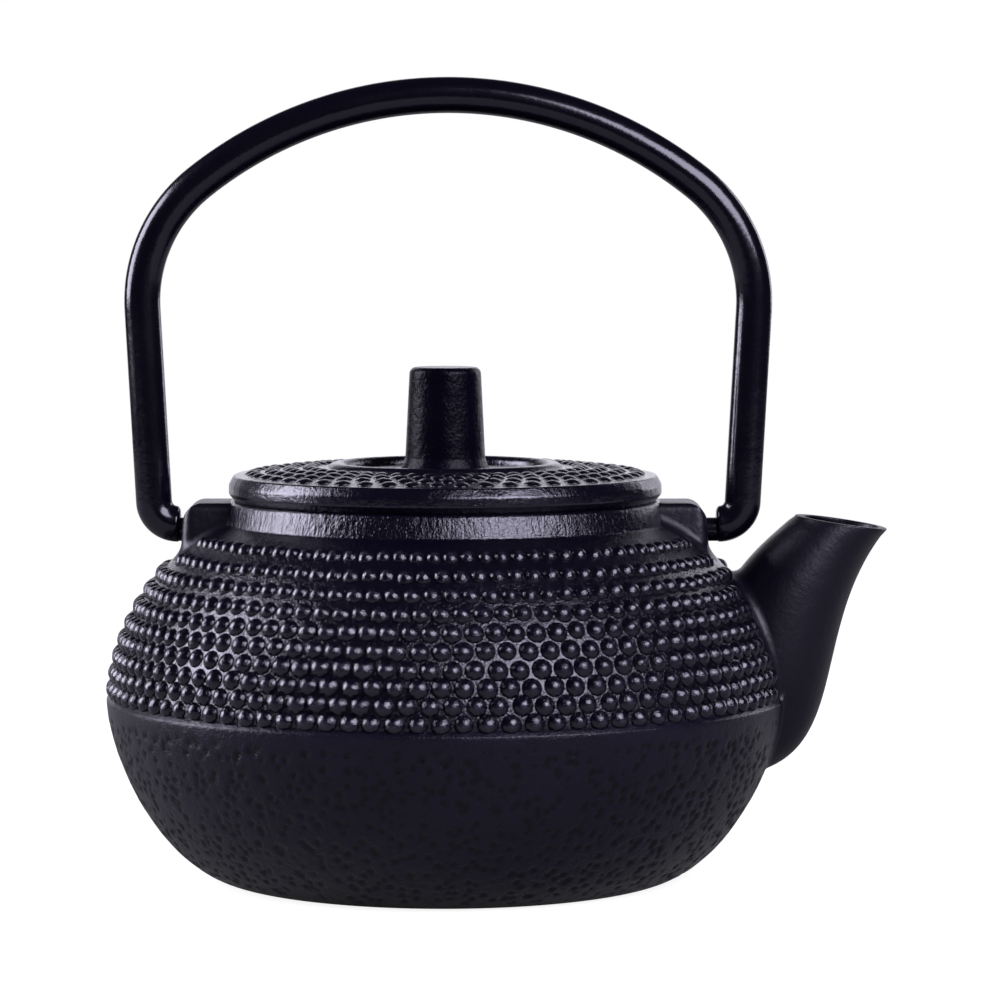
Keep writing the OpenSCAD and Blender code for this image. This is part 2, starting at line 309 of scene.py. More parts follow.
def iron(name, dark, worn, gloss, level, grain, size, lumps=0.0, drag=0.0, drag_z=0.0):
    """Enamelled cast iron. worn is the colour of its rubbed places, gloss its roughness and level
    its reflection. grain is the depth of its casting grain, size the width of that grain, lumps
    the depth of its broader unevenness, and drag that of the upright marks that drawing the
    pattern leaves above the height drag_z. Lengths are in millimetres."""
    finish = bpy.data.materials.new(name)
    finish.use_nodes = True
    shader = finish.node_tree.nodes["Principled BSDF"]
    flow = Wire(finish.node_tree)
    place = flow.node("ShaderNodeTexCoord", out=3)

    def noise(width, detail=2.0, rough=0.5, at=place):
        """Noise whose blotches are a width across, in millimetres."""
        return flow.node("ShaderNodeTexNoise", {0: at, 2: 1000 / width, 3: detail, 4: rough})

    # Raised places and scattered specks are rubbed, and pits marked low in "high" stay dark as
    # painted shade.
    # The cloud's and the grain's shares of the roughness average 0.14, so gloss stays its mean.
    cloud, speck = noise(CLOUD_WIDTH, 3), noise(SPECK_WIDTH)
    fine, broad = noise(size, 3, 0.6), noise(LUMP_WIDTH)
    high = flow.node("ShaderNodeAttribute", out=2, attribute_name="high")
    wear_and_pit_shade = high.ease(0.5, 1.0) * 0.6 + speck.ease(0.6, 0.8) * 0.4
    tone = (wear_and_pit_shade * (cloud + 0.4)).colours(dark, worn)
    rough = cloud * 0.16 + fine * 0.12 + (gloss - 0.14)
    relief = fine * grain + broad * (grain * 1.5 + lumps)
    if drag:
        x, y, z = place.apart()
        marks = noise(MARK_WIDTH, at=flow.vector(x, y, z * MARK_SQUEEZE))
        relief = relief + marks * z.ease(drag_z * MM, (drag_z + MARK_FADE) * MM) * drag
    bump = flow.node("ShaderNodeBump", {0: 1.0, 1: MM, "Height": relief})
    for key, wire in (("Base Color", tone), ("Roughness", rough), ("Normal", bump)):
        finish.node_tree.links.new(wire.socket, shader.inputs[key])
    shader.inputs["Specular IOR Level"].default_value = level
    shader.inputs["Specular Tint"].default_value = ENAMEL_TINT
    return finish


def fitted(piece, finish, body, slot, *nodes):
    """Gives a finished piece its material and its body, and hides the CAD nodes that it stands
    for.
    """
    piece.data.materials.clear()
    piece.data.materials.append(finish)
    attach(piece, body)
    if nodes:
        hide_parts(*nodes)


belly_iron = iron(
    "belly_iron",
    dark=(0.0008, 0.0006, 0.0025),
    worn=(0.0075, 0.006, 0.018),
    gloss=0.3,
    level=0.33,
    grain=0.1,
    size=0.4,
)
shoulder_iron = iron(
    "shoulder_iron",
    dark=(0.0018, 0.0013, 0.0062),
    worn=(0.014, 0.012, 0.026),
    gloss=0.18,
    level=0.75,
    grain=0.13,
    size=0.45,
    drag=0.14,
    drag_z=58.2,
)

# The pouring channel runs from the inside of the belly up through the spout. Each station of the
# spout is an ellipse that runs inwards from its outer contour, a Bezier curve in the XZ plane.
CONTOUR = np.array([[55.6, 18.6], [66.0, 25.179], [61.5, 43.4], [72.9, 57.3]])
LIP_L, LIP_W, LIP_TILT, BEND_TILT = 15.3, 15.2, 8.3, 13
ROOT_LENGTHENING, WAIST_NARROWING, MIDDLE_SWELL = 5, 3, 3
SPOUT_WALL, LIP_WALL, CHANNEL_START, CHANNEL_RUN = 2.4, 1.3, 0.2, 0.8
SPOUT_SIDES, CHANNEL_STEPS, PAST_LIP = 96, 40, 3


def spout_point(t, a, inset=0.0, rise=0.0):
    """A point of the station at t, at angle a, set in from its edge and raised off its plane."""
    shares = ((1 - t) ** 3, 3 * (1 - t) ** 2 * t, 3 * (1 - t) * t * t, t**3)
    edge = sum(share * corner for share, corner in zip(shares, CONTOUR))
    swell = math.sin(math.pi * t) if t > 0 else math.pi * t
    tilt = math.radians(LIP_TILT * t + BEND_TILT * swell)
    to_root = math.sin(math.pi / 2 * min(1, 2 * (1 - t))) ** 1.5
    half = (LIP_L + ROOT_LENGTHENING * to_root) / 2
    wide = (LIP_W - WAIST_NARROWING + WAIST_NARROWING * t) / 2 + MIDDLE_SWELL * swell
    along = (half - inset) * math.cos(a) - half
    return (
        edge[0] + along * math.cos(tilt) + rise * math.sin(tilt),
        (wide - inset) * math.sin(a),
        edge[1] - along * math.sin(tilt) + rise * math.cos(tilt),
    )


def station(t, inset=0.0, rise=0.0):
    """The ring of the spout at t, which runs from 0 at the root to 1 at the lip."""
    return [spout_point(t, a, inset, rise) for a in turns(SPOUT_SIDES)]


def channel_wall(t):
    """The spout's wall at t. It thins evenly from the channel's start to the lip."""
    return SPOUT_WALL + (LIP_WALL - SPOUT_WALL) * (t - CHANNEL_START) / CHANNEL_RUN


channel_ts = [CHANNEL_START + CHANNEL_RUN * k / CHANNEL_STEPS for k in range(CHANNEL_STEPS + 1)]
channel_rings = [station(t, channel_wall(t)) for t in channel_ts]
channel = lofted("channel", channel_rings + [station(1, LIP_WALL, PAST_LIP)])

lower_out = belly_curve(FOOT_R, BELLY_R, SEAM_Z, 0, LOWER_POWER, r_stop=FOOT_R, steps=400)[::-1]
in_foot_r = FOOT_R - WALL
lower_in = belly_curve(
    in_foot_r, BELLY_R - WALL, SEAM_Z, WALL, LOWER_POWER, r_stop=in_foot_r, steps=16
)


def even(points, pitch):
    """Points a pitch apart along a finely drawn outline."""
    points = np.array(points)
    run = np.concatenate([[0], np.cumsum(np.linalg.norm(np.diff(points, axis=0), axis=1))])
    n = max(2, round(run[-1] / pitch))
    at = np.linspace(0, run[-1], n + 1)
    return list(zip(np.interp(at, run, points[:, 0]), np.interp(at, run, points[:, 1])))


# The seam's edge is just broken before it steps in to the shoulder.
seam = [(BELLY_R - 0.05, SEAM_Z + 0.12), (SHOULDER_R, SHOULDER_Z), (SHOULDER_R - WALL, SHOULDER_Z)]
lower_outline = (
    [(r, 0) for r in (0, 8, 20, 30, 35)]
    + even(lower_out, BELLY_PITCH)
    + seam
    + lower_in
    + [(r, WALL) for r in (20, 8, 0)]
)
plain_lower = turned("pot_lower_plain", lower_outline, BELLY_SIDES)


def cast_skin(flow, given):
    """Presses pits into the skin of the lower half, below the smooth band under the seam."""
    shape = shape_of(flow, given["Surface"])
    place = flow.node("GeometryNodeInputPosition")
    x, y, z = place.apart()
    outer = (x * x + y * y).math("SQRT") / MM
    high = z / MM
    # The inside of the wall is at least the wall's thickness in from the skin, so a height and
    # a radius tell them apart. The pits fade out towards the underside and the smooth band.
    below = (SEAM_Z - high) / SEAM_Z
    skin = FOOT_R + (BELLY_R - FOOT_R) * (
        1 - below.math("MAXIMUM", 0).math("POWER", LOWER_POWER)
    ).math("MAXIMUM", 0).math("POWER", 1 / LOWER_POWER)
    on_skin = (outer - skin).ease(-1.2, -0.4) * high.ease(0.3, 2.0)
    band = (SEAM_Z - high).ease(SMOOTH_BAND - 1.2, SMOOTH_BAND + 0.6)
    cells = flow.node("ShaderNodeTexVoronoi", {0: place, 2: 1 / (given["Pit Pitch"] * MM), 8: 0.9})
    uneven = flow.node("ShaderNodeTexNoise", {0: place, 2: 1000 / UNEVEN_WIDTH, 3: 2.0})
    pit = 1 - cells.ease(given["Pit Size"] * PIT_CORE, given["Pit Size"] * PIT_RIM)
    depth = given["Pit Depth"] * MM * (pit * (uneven + 0.55) + (uneven - 0.5) * -1.1)
    # The pits are painted darker than the skin round them, as painted shade in the hollows.
    shape = stored(flow, shape, "high", "FLOAT", 1 - pit * on_skin * band)
    push = {0: flow.node("GeometryNodeInputNormal"), 3: depth * on_skin * band * -1}
    push = flow.node("ShaderNodeVectorMath", push, operation="SCALE")
    return flow.node("GeometryNodeSetPosition", {0: shape, 3: push})


pot_lower = grown(
    "pot_lower",
    "cast skin",
    {
        "Surface": plain_lower,
        "Pit Pitch": PIT_PITCH,
        "Pit Size": PIT_SIZE,
        "Pit Depth": PIT_DEPTH,
        "Finish": belly_iron,
    },
    cast_skin,
)
drop(plain_lower)
without(pot_lower, channel)
fitted(smooth(pot_lower, 40), belly_iron, "pot", "black_iron", "pot_body")

in_crown_z = CROWN_Z - WALL
upper_out = belly_curve(
    CROWN_R, SHOULDER_R, SHOULDER_Z, CROWN_Z, UPPER_POWER, r_stop=NECK_START_R, steps=300
)
upper_in = belly_curve(
    CROWN_R, SHOULDER_R - WALL, SHOULDER_Z, in_crown_z, UPPER_POWER, r_stop=CROWN_R, steps=24
)
neck = rounded(
    (*upper_out[-1], 0),
    (NECK_FOOT_R, NECK_FOOT_Z, NECK_FILLET),
    (NECK_R - NECK_TAPER, RIM_Z, 0.7),
    (LEDGE_R, RIM_Z, 0.35),
    (LEDGE_R, LEDGE_Z, 0.25),
    (MOUTH_R, LEDGE_Z, 0.3),
    (MOUTH_R, in_crown_z, 0.4),
    (CROWN_R, in_crown_z, 0),
    steps=6,
)
# The upper half laps a little way down inside the lower one.
upper_outline = (
    [(SHOULDER_R - 2.4, SHOULDER_Z - LAP), (SHOULDER_R - 0.15, SHOULDER_Z - LAP)]
    + even(upper_out, SHOULDER_PITCH)
    + neck[1:]
    + upper_in[::-1][1:]
)
pot_upper = turned("pot_upper", upper_outline, SHOULDER_SIDES)
without(pot_upper, channel)
fitted(smooth(pot_upper, 40), shoulder_iron, "pot", "black_iron")

# --- Spout and lugs ---
# Cast in one with the pot, smooth where the shoulder is studded. The spout ends in a thin rolled
# lip. Each lug is a block beside the neck with a blind hole for the bail's pin, and every foot
# flows into the shoulder in a fillet, as moulding sand leaves it.

LUG_IN, LUG_OUT, LUG_HALF, LUG_TOP = 33.8, 43.2, 7.0, 61.8
LUG_CORNER, LUG_EDGE, LUG_FOOT, LUG_TOP_EDGE = 3.0, 1.8, 1.8, 1.2
LUG_SUNK, LUG_SINK, LUG_DRAFT, LUG_STEPS = 2.0, 0.04, 0.12, 14
PIN_Z, PIN_HOLE_R, PIN_HOLE_L, HOLE_SIDES = 57.1, 2.03, 5.4, 40
LIP_EDGE, SPOUT_START, SPOUT_RUN, SPOUT_STEPS = 0.25, -0.15, 1.12, 70
FILLET_R, FILLET_STEPS, FILLET_SINK, FILLET_DEPTH = 1.9, 8, 0.03, 0.5
ROOT_POINTS, ROOT_STEPS, ROOT_HALVINGS = 180, 160, 24
STEP_T, STEP_A, STEP_Z = 0.004, 0.01, 0.2

spout_iron = iron(
    "spout_iron",
    dark=(0.002, 0.0016, 0.0065),
    worn=(0.01, 0.0085, 0.019),
    gloss=0.4,
    level=0.42,
    grain=0.04,
    size=0.5,
    lumps=0.05,
)


def quarter_turn(steps):
    """Angles over a quarter turn, its two ends among them."""
    return [math.pi / 2 * k / steps for k in range(steps + 1)]


spout_rings = [station(SPOUT_START + SPOUT_RUN * k / SPOUT_STEPS) for k in range(SPOUT_STEPS + 1)]
spout_rings += [
    station(1, LIP_EDGE * (1 - math.cos(a)), LIP_EDGE * (math.sin(a) - 1)) for a in quarter_turn(4)
]
spout_rings += [
    station(1, LIP_WALL - LIP_EDGE * (1 - math.sin(a)), LIP_EDGE * (math.cos(a) - 1))
    for a in quarter_turn(4)
]
spout_rings += [station(t, channel_wall(t)) for t in channel_ts[::-1][2:]]
cavity_outline = [(0, WALL)] + lower_in[::-1] + upper_in + [(0, in_crown_z)]
cavity = turned("cavity", cavity_outline, CAVITY_SIDES)
spout = without(lofted("spout", spout_rings), cavity)


def joined(name, *pieces):
    """One piece from several."""
    mesh = bmesh.new()
    for piece in pieces:
        mesh.from_mesh(piece.data)
    drop(*pieces)
    whole = new_piece(name, [], [])
    mesh.to_mesh(whole.data)
    mesh.free()
    return whole


def wedge_fillet(name, feet, radius):
    """A fillet in the corner where surface a meets surface b, round a closed line. For each point
    of it, feet gives the corner, then for a and b the outward normal, the way out of the corner,
    and a function that settles the fillet's edge on it: a's takes a point, and b's a distance."""
    rings = []
    for corner, normal_a, normal_b, way_a, way_b, settle_a, settle_b in feet:
        reach = radius / math.tan(math.acos(way_a @ way_b) / 2)
        foot_a = settle_a(corner + way_a * reach) - normal_a * FILLET_SINK
        foot_b = settle_b(reach) - normal_b * FILLET_SINK
        ring = []
        for k in range(FILLET_STEPS + 1):
            u = k / FILLET_STEPS
            ring.append(tuple((1 - u) ** 2 * foot_a + 2 * u * (1 - u) * corner + u * u * foot_b))
        ring.append(tuple(corner - (normal_a + normal_b) * FILLET_DEPTH))
        rings.append(ring)
    return lofted(name, rings, "loop")


def on_skin(point):
    """The point moved to the casting's skin, at its own height."""
    shift = skin_r(point[2]) / math.hypot(point[0], point[1])
    return np.array([point[0] * shift, point[1] * shift, point[2]])


def spout_root(a):
    """How far up the spout its side at angle a comes out of the pot. It is found by steps down
    from the lip, then by halving."""
    high, low = 1.0, SPOUT_START
    for k in range(ROOT_STEPS):
        t = 1 - (1 - SPOUT_START) * k / ROOT_STEPS
        x, y, z = spout_point(t, a)
        if math.hypot(x, y) < skin_r(z):
            low = t
            break
        high = t
    for _ in range(ROOT_HALVINGS):
        t = (high + low) / 2
        x, y, z = spout_point(t, a)
        high, low = (high, t) if math.hypot(x, y) < skin_r(z) else (t, low)
    return high


root_turns = turns(ROOT_POINTS)
roots = [spout_root(a) for a in root_turns]
root_points = [np.array(spout_point(t, a)) for t, a in zip(roots, root_turns)]
root_middle = sum(root_points) / len(root_points)
spout_feet = []
for k, (t, a) in enumerate(zip(roots, root_turns)):
    here = root_points[k]
    run = unit(root_points[(k + 1) % ROOT_POINTS] - root_points[k - 1])
    up = np.array(spout_point(t + STEP_T, a)) - np.array(spout_point(t - STEP_T, a))
    round_it = np.array(spout_point(t, a + STEP_A)) - np.array(spout_point(t, a - STEP_A))
    slope = (skin_r(here[2] + STEP_Z) - skin_r(here[2] - STEP_Z)) / (2 * STEP_Z)
    pot_normal = unit(np.array([*unit(here[:2]), -slope]))
    side_normal = unit(np.cross(round_it, up))
    middle = (np.array(spout_point(t, 0)) + np.array(spout_point(t, math.pi))) / 2
    side_normal *= np.sign(side_normal @ (here - middle))
    away = np.cross(run, pot_normal)
    away *= np.sign(away @ (here - root_middle))
    climb = np.cross(run, side_normal)
    climb *= np.sign(climb @ up)
    step = up / (2 * STEP_T)

    def settle(reach, t=t, a=a, step=step, climb=climb):
        """The spout's surface at a distance up from its root."""
        return np.array(spout_point(t + reach / (step @ climb), a))

    spout_feet.append((here, pot_normal, side_normal, away, climb, on_skin, settle))
spout_fillet = wedge_fillet("spout_fillet", spout_feet, FILLET_R)

hole_turns = turns(HOLE_SIDES)


def lug_outline():
    """Points round a lug from above, each with its way out: two flanks, a face, two corners."""
    edge_x, edge_y = LUG_OUT - LUG_EDGE, LUG_HALF - LUG_EDGE
    outline = []

    def flat(x0, y0, x1, y1, way):
        """A straight stretch, its two ends among its points."""
        for j in range(LUG_STEPS + 1):
            point = (x0 + (x1 - x0) * j / LUG_STEPS, y0 + (y1 - y0) * j / LUG_STEPS)
            outline.append((point, way))

    def corner(x, y, start):
        """A quarter turn round (x, y), without its ends."""
        for b in quarter_turn(8)[1:-1]:
            way = (math.cos(start + b), math.sin(start + b))
            outline.append(((x + LUG_EDGE * way[0], y + LUG_EDGE * way[1]), way))

    flat(LUG_IN, -LUG_HALF, edge_x, -LUG_HALF, (0, -1))
    corner(edge_x, -edge_y, -math.pi / 2)
    flat(LUG_OUT, -edge_y, LUG_OUT, edge_y, (1, 0))
    corner(edge_x, edge_y, 0)
    flat(edge_x, LUG_HALF, LUG_IN, LUG_HALF, (0, 1))
    return outline


def shoulder_z(r):
    """Height of the shoulder's surface at radius r."""
    s = (r - CROWN_R) / (SHOULDER_R - CROWN_R)
    return SHOULDER_Z + (CROWN_Z - SHOULDER_Z) * (1 - s**UPPER_POWER) ** (1 / UPPER_POWER)


def lug(side):
    """A lug with its foot flowing into the shoulder. Its lower rows follow the shoulder, and
    above the pin it narrows by its draft."""
    outline, rings = lug_outline(), []
    for row in [-LUG_SUNK] + [LUG_FOOT * (1 - math.cos(a)) for a in quarter_turn(8)]:
        spread = LUG_FOOT - math.sqrt(max(0.0, LUG_FOOT**2 - (LUG_FOOT - max(row, 0)) ** 2))
        points = []
        for (x, y), (nx, ny) in outline:
            px, py = x + nx * spread, y + ny * spread
            ground = shoulder_z(math.hypot(px, py))
            points.append((side * px, side * py, ground + row - LUG_SINK))
        rings.append(points)
    bend_z = LUG_TOP - LUG_CORNER
    for z in [bend_z - 0.1] + [bend_z + LUG_CORNER * math.sin(a) for a in quarter_turn(10)]:
        rise = max(0.0, z - bend_z)
        x_max = LUG_OUT - LUG_CORNER + math.sqrt(max(0.0, LUG_CORNER**2 - rise**2))
        over = max(0.0, z - (LUG_TOP - LUG_TOP_EDGE))
        pull = LUG_TOP_EDGE - math.sqrt(max(0.0, LUG_TOP_EDGE**2 - over**2))
        points = []
        for (x, y), _ in outline:
            y = math.copysign(min(abs(y), LUG_HALF - pull), y)
            points.append((side * min(x, x_max), side * y, z))
        rings.append(points)
    for points in rings:
        for k, (x, y, z) in enumerate(points):
            lean = LUG_DRAFT * max(0.0, z - PIN_Z)
            x -= side * lean * (abs(x) - LUG_IN) / (LUG_OUT - LUG_IN)
            points[k] = (x, y * (1 - lean / LUG_HALF), z)
    block = lofted("lug", rings)
    hole = lofted(
        "pin_hole",
        [
            [
                (side * x, side * PIN_HOLE_R * math.sin(a), PIN_Z + PIN_HOLE_R * math.cos(a))
                for a in hole_turns
            ]
            for x in (LUG_OUT - PIN_HOLE_L, LUG_OUT + 4)
        ],
    )
    without(block, hole)
    drop(hole)
    return block


spout_and_lugs = joined("spout_and_lugs", spout, spout_fillet, lug(1), lug(-1))
fitted(smooth(spout_and_lugs, 38), spout_iron, "pot", "black_iron")
drop(channel, cavity)

# --- Hobnails on the shoulder ---
# Ten staggered rows of 96 small round studs, each pressed into the mould by hand. Their tips are
# rubbed, and they stop short of the spout, the lugs and the neck.

NAIL_ROWS, NAIL_COUNT, NAIL_START, NAIL_STEP = 10, 96, 31.35, 2.72
NAIL_R, NAIL_H, NAIL_SIDES, RUB_START = 1.68, 1.0, 12, 0.6
RAY_LENGTH = 0.2

nail_iron = iron(
    "nail_iron",
    dark=(0.0015, 0.001, 0.0058),
    worn=(0.024, 0.021, 0.04),
    gloss=0.18,
    level=0.75,
    grain=0.11,
    size=0.5,
)
# Radius and height of each ring of a nail, as shares of its own radius and height.
nail_rings = ((1.05, -0.22), (0.9, 0.22), (0.66, 0.6), (0.38, 0.88), (0.13, 1.0))
nail = lofted("nail", [circle(r, h, turns(NAIL_SIDES)) for r, h in nail_rings])
rubbed = [max(0.0, (h - RUB_START) / (1 - RUB_START)) for _, h in nail_rings]
tips = nail.data.attributes.new("high", "FLOAT", "POINT")
tips.data.foreach_set("value", np.repeat(rubbed, NAIL_SIDES))
nail.data.shade_smooth()


def grid(flow, count):
    """The row and the column of each point, where a row holds count points."""
    index = flow.node("GeometryNodeInputIndex")
    row = (index / count).math("FLOOR")
    return row, index - row * count


def hobnails(flow, given):
    """Sets nails in staggered rows on a turned surface, found by rays from its side or above."""

    def chance(low, high, seed):
        """A random value for each nail."""
        values = {2: low, 3: high, 8: given["Seed"] + seed}
        return flow.node("FunctionNodeRandomValue", values, out=1)

    # Hand-set nails stray along their row and off its line, and differ in size and turn.
    stray = given["Stray"]
    row, column = grid(flow, given["Count"])
    column = column + row.math("MODULO", 2) * 0.5 + chance(-0.3, 0.3, 1) * stray
    turn = column * math.tau / given["Count"]
    over = given["From Above"]
    line = given["Start"] + row * given["Step"] + chance(-1, 1, 2) * stray
    reach = given["Reach"] * (1 - over) + line * over
    height = line * (1 - over) + given["Reach"] * over
    cos, sin = turn.math("COSINE"), turn.math("SINE")
    start = flow.vector(cos * reach * MM, sin * reach * MM, height * MM)
    way = flow.vector(cos * (over - 1), sin * (over - 1), over * -1)
    surface, clear = shape_of(flow, given["Surface"]), shape_of(flow, given["Clear Of"])
    ray = {2: start, 3: way, 4: RAY_LENGTH}
    hit = flow.node("GeometryNodeRaycast", {0: surface, **ray})
    block = flow.node("GeometryNodeRaycast", {0: clear, **ray})
    place, normal, far = hit.also(1), hit.also(2), hit.also(3)
    near = flow.node("GeometryNodeProximity", {0: clear, 2: place}, out=1)
    hidden = block * block.also(3).math("LESS_THAN", far)
    lost = (1 - hit) + hidden + near.math("LESS_THAN", given["Clearance"] * MM)
    # The places are stored before any point is deleted, because that changes the index.
    points = flow.node("GeometryNodePoints", {0: given["Rows"] * given["Count"], 1: start})
    points = stored(flow, points, "spot", "FLOAT_VECTOR", place)
    points = stored(flow, points, "rise", "FLOAT_VECTOR", normal)
    points = flow.node("GeometryNodeDeleteGeometry", {0: points, 1: lost})
    spot, rise = (
        flow.node("GeometryNodeInputNamedAttribute", {0: key}, data_type="FLOAT_VECTOR")
        for key in ("spot", "rise")
    )
    points = flow.node("GeometryNodeSetPosition", {0: points, 2: spot})
    x, y, _ = spot.apart()
    pitch = (x * x + y * y).math("SQRT") / MM * math.tau / given["Count"]
    base = (pitch * 0.5).math("MINIMUM", given["Width"]) * chance(0.94, 1.06, 3)
    tall = base / given["Width"] * given["Height"] * 0.6 + given["Height"] * 0.4
    spin = flow.vector(0.0, 0.0, chance(0.0, 6.28, 4))
    spin = flow.node("FunctionNodeEulerToRotation", {0: spin})
    stand = flow.node("FunctionNodeAlignRotationToVector", {0: spin, 2: rise}, axis="Z")
    nails = shape_of(flow, given["Nail"])
    size = flow.vector(base, base, tall)
    return flow.node("GeometryNodeInstanceOnPoints", {0: points, 2: nails, 5: stand, 6: size})


nail_inputs = {
    "Surface": pot_upper,
    "Clear Of": spout_and_lugs,
    "Nail": nail,
    "Rows": NAIL_ROWS,
    "Count": NAIL_COUNT,
    "Start": NAIL_START,
    "Step": NAIL_STEP,
    "From Above": 0.0,
    "Reach": 70.0,
    "Clearance": 1.1,
    "Width": NAIL_R,
    "Height": NAIL_H,
    "Stray": 0.12,
    "Seed": 3,
    "Finish": nail_iron,
}
pot_nails = grown("pot_nails", "hobnails", nail_inputs, hobnails)
fitted(pot_nails, nail_iron, "pot", "black_iron")

# --- Bail handle ---
# A bent iron rod in a smooth gloss enamel. It arches over the lid, and its ends turn in to two
# pins that sit free in the lugs.

ROD_R, ROD_X, FOOT_BEND, LEG_LEAN = 2.975, 44.7, 3.9, math.radians(3.1)
SPRING_H, BAIL_H, CORNER_R, BAIL_SHIFT = 36.2, 74.4, 25.0, 0.5
PIN_R, PIN_L, PIN_SHOW, FOOT_RISE, ROD_SIDES = 1.95, 4.6, 1.5, 0.9, 48
# How far each ring stands past the end of the bend, and its radius: the rod's end is rounded.
ROD_END = ((0.5, 2.0), (0.46, 2.35), (0.35, 2.65), (0.18, 2.87))

bail_iron = iron(
    "bail_iron",
    dark=(0.002, 0.0015, 0.0055),
    worn=(0.006, 0.005, 0.011),
    gloss=0.18,
    level=0.55,
    grain=0.015,
    size=0.5,
    lumps=0.03,
)
# Centres of the arcs in the XZ plane, from the foot bend up the leg to the top.
foot_c = np.array([ROD_X, PIN_Z + FOOT_RISE + FOOT_BEND])
lean = np.array([math.cos(LEG_LEAN), -math.sin(LEG_LEAN)])
leg_foot = foot_c + FOOT_BEND * lean
leg_top_z = PIN_Z + SPRING_H
leg_top = np.array([leg_foot[0] + (leg_top_z - leg_foot[1]) * math.tan(LEG_LEAN), leg_top_z])
corner_c = leg_top - CORNER_R * lean
apex_z = PIN_Z + BAIL_H - ROD_R
rise = apex_z - corner_c[1]
top_r = (corner_c[0] ** 2 + rise**2 - CORNER_R**2) / (2 * (rise - CORNER_R))
top_c = np.array([0.0, apex_z - top_r])
top_half = math.atan2(corner_c[0], corner_c[1] - top_c[1])
rod_turns = turns(ROD_SIDES)


def rod_ring(centre, r, a):
    """The rod's ring at angle a of an arc of radius r."""
    return [
        (
            centre[0] + (r + ROD_R * math.cos(b)) * math.cos(a) + BAIL_SHIFT,
            ROD_R * math.sin(b),
            centre[1] + (r + ROD_R * math.cos(b)) * math.sin(a),
        )
        for b in rod_turns
    ]


def rod_arc(centre, r, a0, a1, steps, first=0):
    """Rings of the rod along an arc from angle a0 to a1."""
    return [rod_ring(centre, r, a0 + (a1 - a0) * k / steps) for k in range(first, steps + 1)]


def rod_end(side):
    """Rings that round the end of a leg, from its tip to the full rod."""
    return [
        [
            (
                side * (ROD_X - along) + BAIL_SHIFT,
                r * math.sin(b),
                foot_c[1] - FOOT_BEND - r * math.cos(b),
            )
            for b in rod_turns
        ]
        for along, r in ROD_END
    ]


quarter = math.pi / 2
other_side = np.array([-1, 1])
stretches = [
    rod_end(1),
    rod_arc(foot_c, FOOT_BEND, -quarter, -LEG_LEAN, 18),
    rod_arc(corner_c, CORNER_R, -LEG_LEAN, quarter - top_half, 26),
    rod_arc(top_c, top_r, quarter - top_half, quarter + top_half, 60, 1),
    rod_arc(corner_c * other_side, CORNER_R, quarter + top_half, math.pi + LEG_LEAN, 26, 1),
    rod_arc(foot_c * other_side, FOOT_BEND, math.pi + LEG_LEAN, 3 * quarter, 18),
    rod_end(-1)[::-1],
]
rod = lofted("rod", [ring for stretch in stretches for ring in stretch])
pin_end = PIN_L + PIN_SHOW
pin_profile = rounded((0, 0, 0), (PIN_R, 0, 0.4), (PIN_R, pin_end, 0), (0, pin_end, 0))
pins = []
for side in (1, -1):
    pin = turned("pin", pin_profile, HOLE_SIDES)
    for v in pin.data.vertices:
        x, y, z = v.co
        reach = (LUG_OUT - PIN_L) * MM + z
        v.co = (side * reach + BAIL_SHIFT * MM, side * y, PIN_Z * MM + x)
    pin.data.update()
    if side == 1:
        pin.data.flip_normals()
    pins.append(pin)
bail = joined("bail", rod, *pins)
fitted(smooth(bail, 40), bail_iron, "bail", "bail_iron", "bail_handle")

# --- Infuser basket ---
# Drawn and punched stainless sheet, half a millimetre thick. Its flange hangs on the ledge in the
# mouth, a collar grips the screen, and a ring holds the punched bottom.

BASKET_R, SCREEN_R, SHEET, FLANGE_R = 29.4, 28.85, 0.5, 31.9
BASKET_Z, COLLAR_H, RING_H, RING_W, BASKET_SIDES = 31.0, 6, 3, 4, 180
SCREEN_COUNT, SCREEN_ROWS, SCREEN_START, SCREEN_STEP = 90, 10, 35.0, 1.95
FLOOR_COUNT, FLOOR_STEP, FLOOR_HOLES_R, FLOOR_EDGE_R = 29, 2.0, 26.4, 25.6
HOLE_R, OVERLAP, WELD = 0.55, 0.01, 0.00002


def steel(name, tone, gloss, stretch):
    """Stainless sheet, brushed along one way. stretch squeezes the brushing on each axis."""
    finish = bpy.data.materials.new(name)
    finish.use_nodes = True
    shader = finish.node_tree.nodes["Principled BSDF"]
    flow = Wire(finish.node_tree)
    place = flow.node("ShaderNodeTexCoord", out=3)
    turned_to = flow.node("ShaderNodeMapping", {0: place, 3: stretch})
    brush = flow.node("ShaderNodeTexNoise", {0: turned_to, 2: 900.0, 3: 3.0, 4: 0.6})
    stain = flow.node("ShaderNodeTexNoise", {0: place, 2: 120.0, 3: 3.0})
    dull = tuple(0.72 * c for c in tone)
    shade = stain.ease(0.35, 0.75).colours(tone, dull)
    rough = brush * 0.14 + stain * 0.1 + (gloss - 0.12)
    bump = flow.node("ShaderNodeBump", {0: 1.0, 1: MM, "Height": brush * 0.012})
    for key, wire in (("Base Color", shade), ("Roughness", rough), ("Normal", bump)):
        finish.node_tree.links.new(wire.socket, shader.inputs[key])
    shader.inputs["Metallic"].default_value = 1.0
    return finish


drawn_steel = steel("drawn_steel", (0.62, 0.62, 0.64), 0.26, (1.0, 1.0, 14.0))
punched_steel = steel("punched_steel", (0.55, 0.55, 0.57), 0.32, (1.0, 1.0, 8.0))

